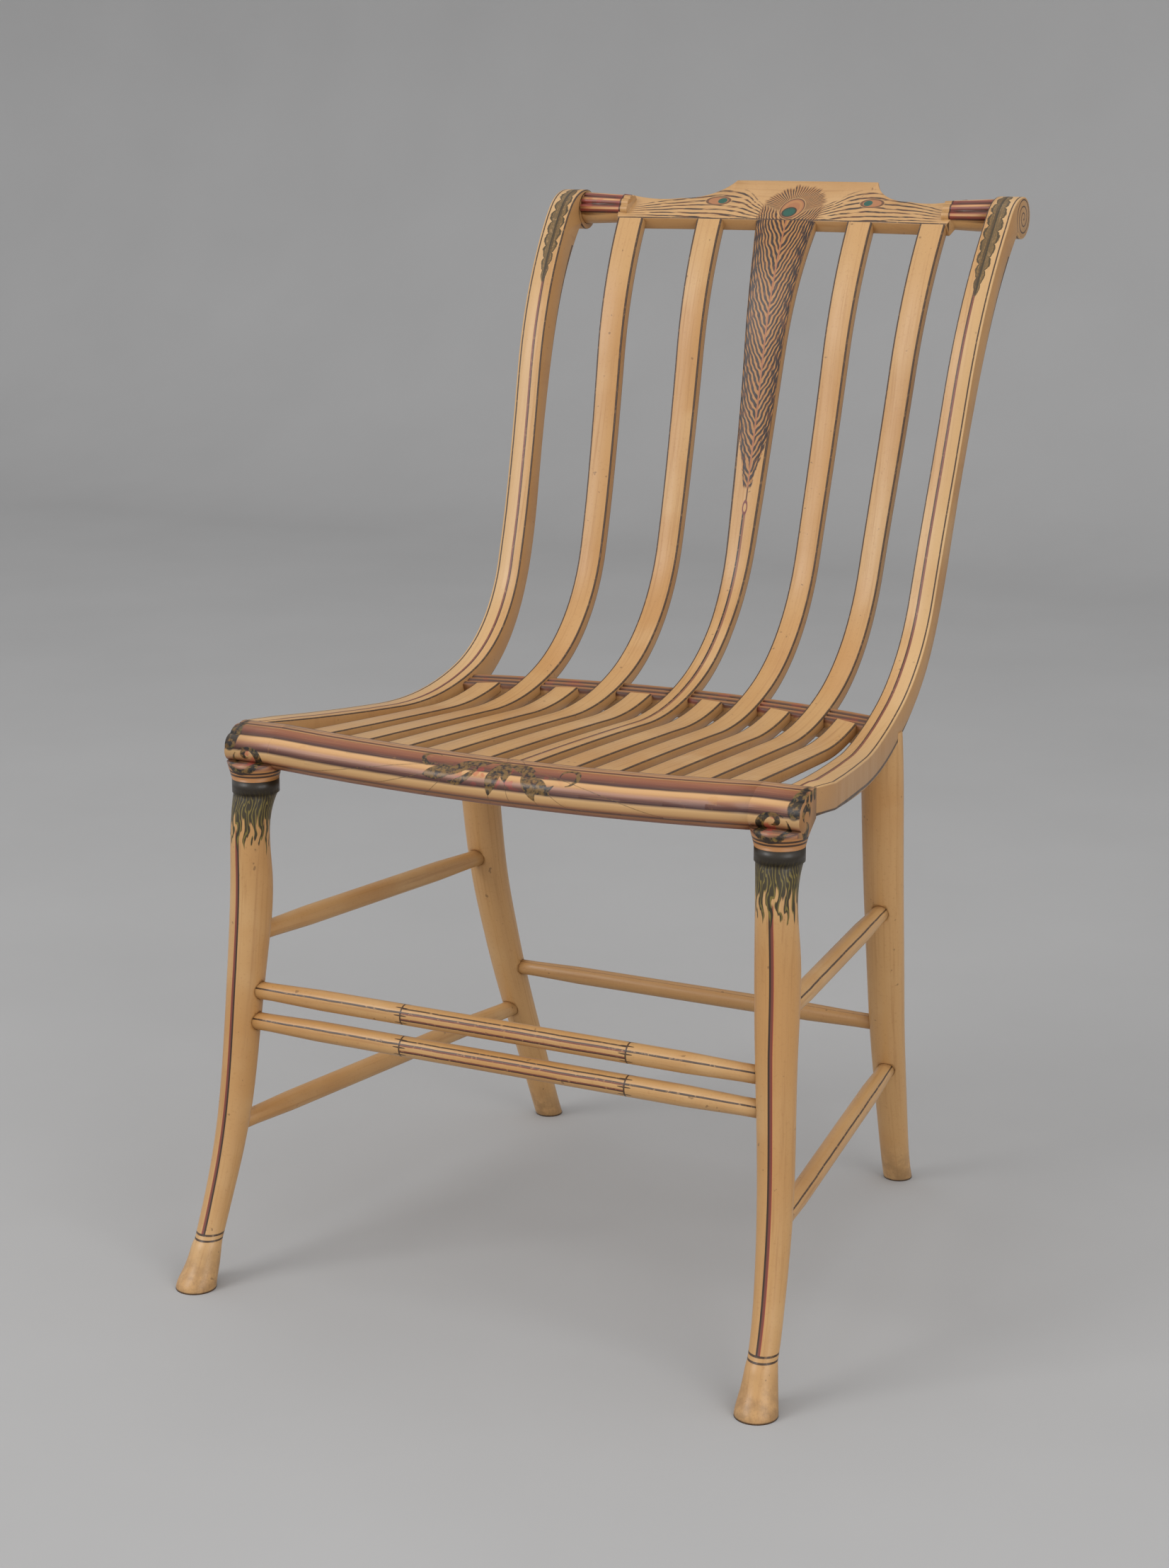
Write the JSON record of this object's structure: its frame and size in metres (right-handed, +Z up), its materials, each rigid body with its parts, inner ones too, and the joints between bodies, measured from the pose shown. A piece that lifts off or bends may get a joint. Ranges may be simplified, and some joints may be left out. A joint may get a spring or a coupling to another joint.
{
  "type": "side chair",
  "caption": "Painted wooden side chair with a bent slatted seat and back, sabre legs, hoof feet, turned stretchers and a rolled crest rail.",
  "frame": {"origin": "on the floor, under the middle of the chair's overall width and depth", "axes": "+Z up, the chair faces -Y, +X to the chair's own left"},
  "size_m": [0.5302, 0.6804, 0.8673],
  "materials": {
    "painted_wood": "old satin paint and varnish, ochre ground with dark brown, plum and olive decoration"
  },
  "bodies": {
    "root": {"front_seat_rail": "painted_wood", "rear_seat_rail": "painted_wood", "crest_rail": "painted_wood", "back_slat_middle": "painted_wood", "back_slat_inner_left": "painted_wood", "back_slat_inner_right": "painted_wood", "back_slat_outer_left": "painted_wood", "back_slat_outer_right": "painted_wood", "seat_slat_inner_left": "painted_wood", "seat_slat_inner_right": "painted_wood", "seat_slat_centre_left": "painted_wood", "seat_slat_centre_right": "painted_wood", "seat_slat_outer_left": "painted_wood", "seat_slat_outer_right": "painted_wood", "side_stretcher_upper_left": "painted_wood", "side_stretcher_upper_right": "painted_wood", "side_stretcher_lower_left": "painted_wood", "side_stretcher_lower_right": "painted_wood", "front_stretcher_upper": "painted_wood", "front_stretcher_lower": "painted_wood", "rear_stretcher": "painted_wood", "front_leg_left": "painted_wood", "front_leg_right": "painted_wood", "rear_leg_left": "painted_wood", "rear_leg_right": "painted_wood", "side_rail_left": "painted_wood", "side_rail_right": "painted_wood"}
  },
  "joints": []
}
